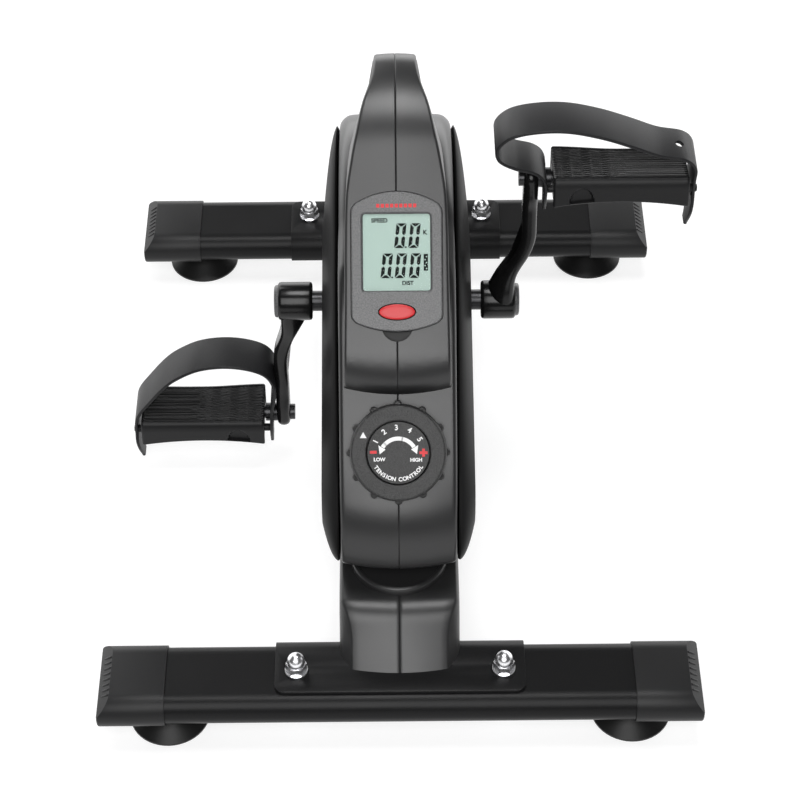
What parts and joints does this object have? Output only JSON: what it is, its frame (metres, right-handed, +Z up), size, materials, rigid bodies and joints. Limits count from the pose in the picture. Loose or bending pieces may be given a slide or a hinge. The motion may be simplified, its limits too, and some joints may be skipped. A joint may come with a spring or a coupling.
{
  "type": "pedal exerciser",
  "caption": "Seated mini pedal exerciser: slanted housing with carrying handle, tension knob, display, crank set with strapped pedals, on two crosswise tubes with suction feet.",
  "frame": {"origin": "on the floor, midway between the two stabilizers and on the middle plane", "axes": "+Z up, +Y away from the person pedalling, +X to their right"},
  "size_m": [0.42, 0.541, 0.36],
  "materials": {
    "frame_steel": "satin black powder coat",
    "cap_plastic": "fine grain",
    "foot_rubber": "smooth",
    "bright_zinc": "polished",
    "housing_plastic": "satin with fine grain",
    "cover_plastic": "semi-gloss",
    "screw_steel": "black oxide",
    "bearing_steel": "ground",
    "crank_enamel": "gloss black",
    "crank_cap_plastic": "gloss",
    "pedal_plastic": "ribbed and grained",
    "strap_rubber": "matte",
    "weight_steel": "plain",
    "flywheel_iron": "machined rim",
    "pulley_plastic": "plain",
    "belt_rubber": "plain",
    "magnet_nickel": "nickel plated",
    "carrier_aluminium": "cast",
    "knob_plastic": "coarse grain",
    "dial_plastic": "printed in white and red",
    "inner_plastic": "plain",
    "cable_sheath": "plain",
    "bezel_plastic": "gloss black",
    "case_plastic": "plain",
    "lens_clear": "clear",
    "lcd_green": "pale green display with dark digits",
    "board_green": "circuit board",
    "battery_label": "plain",
    "button_red": "semi-gloss"
  },
  "bodies": {
    "frame": {"stabilizer_tubes": "frame_steel", "saddles": "frame_steel", "rear_post": "frame_steel", "front_post": "frame_steel", "frame_plate_right": "frame_steel", "frame_plate_left": "frame_steel", "end_caps": "cap_plastic", "suction_feet": "foot_rubber", "dome_nuts": "bright_zinc", "washers": "bright_zinc", "carriage_bolts": "bright_zinc", "housing_right": "housing_plastic", "housing_left": "housing_plastic", "handle_right": "housing_plastic", "handle_left": "housing_plastic", "post_cover": "housing_plastic", "post_collar": "housing_plastic", "side_cover_right": "cover_plastic", "side_cover_left": "cover_plastic", "housing_screws": "screw_steel", "axle_nuts": "screw_steel", "crank_bearings": "bearing_steel", "flywheel_axle": "bearing_steel", "carrier_pin": "bearing_steel", "return_spring": "bearing_steel", "drive_belt": "belt_rubber", "dial_disc": "dial_plastic", "tension_cup": "inner_plastic", "console_socket": "inner_plastic", "reed_sensor": "inner_plastic", "tension_cable": "cable_sheath", "sensor_lead": "cable_sheath"},
    "crank": {"crank_axle": "bearing_steel", "crank_arm_right": "crank_enamel", "crank_arm_left": "crank_enamel", "crank_bolts": "screw_steel", "crank_caps": "crank_cap_plastic", "crank_pulley": "pulley_plastic", "sensor_magnet": "magnet_nickel", "pedal_spindle_right": "bearing_steel", "pedal_spindle_left": "bearing_steel"},
    "right_pedal": {"pedal_body_right": "pedal_plastic", "pedal_strap_right": "strap_rubber", "pedal_weight_right": "weight_steel"},
    "left_pedal": {"pedal_body_left": "pedal_plastic", "pedal_strap_left": "strap_rubber", "pedal_weight_left": "weight_steel"},
    "flywheel": {"flywheel": "flywheel_iron", "flywheel_bearings": "bearing_steel", "flywheel_pulley": "pulley_plastic"},
    "brake": {"magnet_carrier": "carrier_aluminium", "brake_magnets": "magnet_nickel"},
    "knob": {"knob_ring": "knob_plastic"},
    "console": {"console_bezel": "bezel_plastic", "console_case": "case_plastic", "console_lens": "lens_clear", "lcd_panel": "lcd_green", "console_board": "board_green", "battery": "battery_label"},
    "button": {"mode_button": "button_red"}
  },
  "joints": [
    {"name": "crank_spin", "type": "hinge", "parent": "frame", "child": "crank", "pos_m": [0, 0.016, 0.16], "axis": [1, 0, 0], "continuous": true},
    {"name": "right_pedal_spin", "type": "hinge", "parent": "crank", "child": "right_pedal", "pos_m": [0.15, 0.016, 0.277], "axis": [1, 0, 0], "continuous": true, "deforming": ["pedal_strap_right"]},
    {"name": "left_pedal_spin", "type": "hinge", "parent": "crank", "child": "left_pedal", "pos_m": [-0.15, 0.016, 0.043], "axis": [1, 0, 0], "continuous": true},
    {"name": "flywheel_spin", "type": "hinge", "parent": "frame", "child": "flywheel", "pos_m": [0, -0.082, 0.132], "axis": [1, 0, 0], "continuous": true},
    {"name": "knob_turn", "type": "hinge", "parent": "frame", "child": "knob", "pos_m": [0, -0.15395, 0.17805], "axis": [0, -0.7071, 0.7071], "range_deg": [-112, 0]},
    {"name": "brake_swing", "type": "hinge", "parent": "frame", "child": "brake", "pos_m": [0, -0.02999, 0.17263], "axis": [1, 0, 0], "range_deg": [0, 3.5]},
    {"name": "console_lift", "type": "slide", "parent": "frame", "child": "console", "axis": [0, -0.7071, 0.7071], "range_m": [0, 0.03]},
    {"name": "button_press", "type": "slide", "parent": "console", "child": "button", "axis": [0, -0.7071, 0.7071], "range_m": [-0.001, 0], "stiffness_N_per_m": 600, "springref_m": 0.0005}
  ],
  "couplings": [
    {"joint": "flywheel_spin", "follows": "crank_spin", "ratio": 5},
    {"joint": "brake_swing", "follows": "knob_turn", "ratio": -0.03125}
  ]
}
